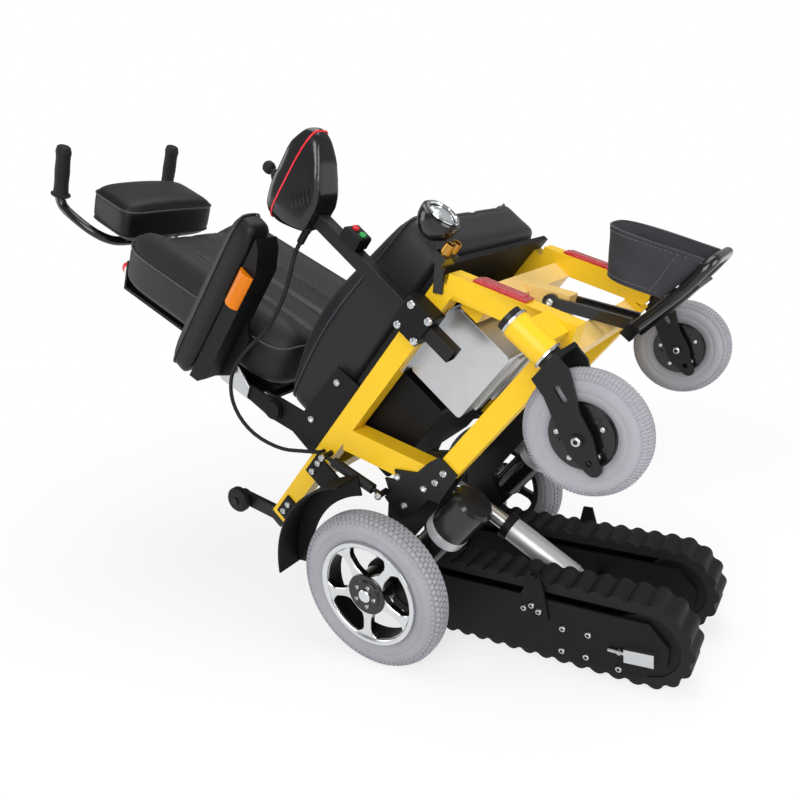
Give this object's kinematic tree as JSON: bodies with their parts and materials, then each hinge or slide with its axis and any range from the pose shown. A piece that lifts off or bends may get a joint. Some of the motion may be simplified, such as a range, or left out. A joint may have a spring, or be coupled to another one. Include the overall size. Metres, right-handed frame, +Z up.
{
  "type": "stair climbing wheelchair",
  "caption": "Powered wheelchair on a square-tube frame with rear drive wheels, front castors and folding crawler tracks, tipped nose-up on its tracks to climb stairs.",
  "frame": {"origin": "on the ground under the middle of the outline", "axes": "+X forward, +Y to the chair's left, +Z up"},
  "size_m": [1.542, 0.658, 1.0887],
  "materials": {
    "frame": "semi-gloss",
    "tyre": "matt",
    "rim": "satin",
    "black_metal": "satin",
    "black_plastic": "gloss",
    "matt_plastic": "matt",
    "leather": "soft grain",
    "fabric": "woven",
    "steel": "brushed",
    "chrome": "polished",
    "brass": "satin",
    "lens": "clear",
    "red": "gloss",
    "orange": "gloss",
    "white": "satin",
    "green": "gloss",
    "rubber": "matt",
    "alloy_box": "brushed"
  },
  "bodies": {
    "frame": {"frame": "frame", "battery_box": "alloy_box", "rear_carrier": "black_metal", "drive_gearboxes": "black_metal", "drive_motors": "black_metal", "mudguards": "matt_plastic", "rear_outriggers": "black_metal", "seat_pan": "matt_plastic", "seat_cushion": "leather", "post_clamp": "matt_plastic", "headlamp": "matt_plastic", "lamp_lens": "lens", "charge_sockets": "brass", "front_reflectors": "red", "bearing_rings": "steel", "frame_bolts": "steel", "joystick_cable": "rubber"},
    "tracks": {"track_frame": "black_metal", "track_belts": "rubber"},
    "idlers": {"track_idlers": "matt_plastic"},
    "sprockets": {"track_sprockets": "matt_plastic"},
    "actuator": {"actuator_body": "black_metal"},
    "actuator_ram": {"actuator_rod": "rim"},
    "rear_wheel_right": {"rear_tyre_right": "tyre", "rear_rim_right": "rim"},
    "rear_wheel_left": {"rear_tyre_left": "tyre", "rear_rim_left": "rim"},
    "fork_right": {"castor_fork_right": "black_metal"},
    "fork_left": {"castor_fork_left": "black_metal"},
    "castor_right": {"castor_tyre_right": "tyre", "castor_hub_right": "matt_plastic"},
    "castor_left": {"castor_tyre_left": "tyre", "castor_hub_left": "matt_plastic"},
    "outrigger_right": {"outrigger_wheel_right": "rubber"},
    "outrigger_left": {"outrigger_wheel_left": "rubber"},
    "backrest": {"back_shell": "matt_plastic", "back_cushion": "leather", "push_handle": "black_metal", "handle_grips": "rubber", "beacon_base": "white", "beacon_dome": "red", "armrest_brackets": "steel"},
    "arm_right": {"armrest_right": "matt_plastic", "armrest_pad_right": "leather", "armrest_light_right": "orange"},
    "arm_left": {"armrest_left": "matt_plastic", "armrest_pad_left": "leather", "armrest_light_left": "orange"},
    "headrest": {"headrest_pad": "leather", "headrest_rods": "chrome"},
    "control_post": {"joystick_post": "black_metal", "joystick_box": "black_plastic", "joystick_trim": "red", "switch_box": "matt_plastic"},
    "gimbal": {"joystick_gimbal": "steel"},
    "stick": {"joystick_stick": "rubber"},
    "red_button": {"button_red": "red"},
    "green_button": {"button_green": "green"},
    "footrest": {"footrest_frame": "black_metal", "calf_strap": "fabric"}
  },
  "joints": [
    {"name": "track_lift", "type": "hinge", "parent": "frame", "child": "tracks", "pos_m": [0.1917, 0, 0.085], "axis": [0, -1, 0], "range_deg": [0, 30]},
    {"name": "sprocket_spin", "type": "hinge", "parent": "tracks", "child": "sprockets", "pos_m": [0.1917, 0, 0.085], "axis": [0, 1, 0], "continuous": true},
    {"name": "idler_spin", "type": "hinge", "parent": "tracks", "child": "idlers", "pos_m": [0.6767, 0, 0.085], "axis": [0, 1, 0], "continuous": true},
    {"name": "actuator_pivot", "type": "hinge", "parent": "tracks", "child": "actuator", "pos_m": [0.5317, 0, 0.085], "axis": [0, -1, 0], "range_deg": [-5.3, 0]},
    {"name": "actuator_stroke", "type": "slide", "parent": "actuator", "child": "actuator_ram", "axis": [-0.8494, 0, 0.5277], "range_m": [-0.102, 0]},
    {"name": "rear_wheel_right_spin", "type": "hinge", "parent": "frame", "child": "rear_wheel_right", "pos_m": [0.2017, -0.28, 0.16], "axis": [0, 1, 0], "continuous": true},
    {"name": "castor_right_swivel", "type": "hinge", "parent": "frame", "child": "fork_right", "pos_m": [0.6216, -0.285, 0.60248], "axis": [-0.7254, 0, 0.6884], "continuous": true},
    {"name": "castor_right_spin", "type": "hinge", "parent": "fork_right", "child": "castor_right", "pos_m": [0.63701, -0.285, 0.5272], "axis": [0, 1, 0], "continuous": true},
    {"name": "outrigger_right_spin", "type": "hinge", "parent": "frame", "child": "outrigger_right", "pos_m": [-0.22642, -0.21, 0.24782], "axis": [0, 1, 0], "continuous": true},
    {"name": "rear_wheel_left_spin", "type": "hinge", "parent": "frame", "child": "rear_wheel_left", "pos_m": [0.2017, 0.28, 0.16], "axis": [0, 1, 0], "continuous": true},
    {"name": "castor_left_swivel", "type": "hinge", "parent": "frame", "child": "fork_left", "pos_m": [0.6216, 0.285, 0.60248], "axis": [-0.7254, 0, 0.6884], "continuous": true},
    {"name": "castor_left_spin", "type": "hinge", "parent": "fork_left", "child": "castor_left", "pos_m": [0.63701, 0.285, 0.5272], "axis": [0, 1, 0], "continuous": true},
    {"name": "outrigger_left_spin", "type": "hinge", "parent": "frame", "child": "outrigger_left", "pos_m": [-0.22642, 0.21, 0.24782], "axis": [0, 1, 0], "continuous": true},
    {"name": "backrest_recline", "type": "hinge", "parent": "frame", "child": "backrest", "pos_m": [-0.05719, 0, 0.48426], "axis": [0, -1, 0], "range_deg": [0, 30]},
    {"name": "armrest_right_lift", "type": "hinge", "parent": "backrest", "child": "arm_right", "pos_m": [-0.18916, 0, 0.58054], "axis": [0, -1, 0], "range_deg": [0, 90]},
    {"name": "armrest_left_lift", "type": "hinge", "parent": "backrest", "child": "arm_left", "pos_m": [-0.18916, 0, 0.58054], "axis": [0, -1, 0], "range_deg": [-90, 0]},
    {"name": "headrest_height", "type": "slide", "parent": "backrest", "child": "headrest", "axis": [-0.8788, 0, 0.4772], "range_m": [-0.015, 0.05]},
    {"name": "control_post_height", "type": "slide", "parent": "frame", "child": "control_post", "axis": [-0.7254, 0, 0.6884], "range_m": [-0.05, 0.06]},
    {"name": "joystick_pitch", "type": "hinge", "parent": "control_post", "child": "gimbal", "pos_m": [0.07557, -0.237, 0.92488], "axis": [0, 1, 0], "range_deg": [-16, 16], "stiffness_Nm_per_rad": 0.8},
    {"name": "joystick_roll", "type": "hinge", "parent": "gimbal", "child": "stick", "pos_m": [0.07557, -0.237, 0.92488], "axis": [0.6884, 0, 0.7254], "range_deg": [-16, 16], "stiffness_Nm_per_rad": 0.8},
    {"name": "red_button_press", "type": "slide", "parent": "control_post", "child": "red_button", "axis": [-0.6884, 0, -0.7254], "range_m": [0, 0.0025], "stiffness_N_per_m": 400},
    {"name": "green_button_press", "type": "slide", "parent": "control_post", "child": "green_button", "axis": [-0.6884, 0, -0.7254], "range_m": [0, 0.0025], "stiffness_N_per_m": 400},
    {"name": "footrest_swing", "type": "hinge", "parent": "frame", "child": "footrest", "pos_m": [0.4825, 0, 0.67382], "axis": [0, -1, 0], "range_deg": [0, 50]}
  ],
  "couplings": [
    {"joint": "idler_spin", "follows": "sprocket_spin", "ratio": 1},
    {"joint": "actuator_pivot", "follows": "track_lift", "ratio": -0.17223},
    {"joint": "actuator_stroke", "follows": "track_lift", "m_per_rad": -0.19462}
  ]
}
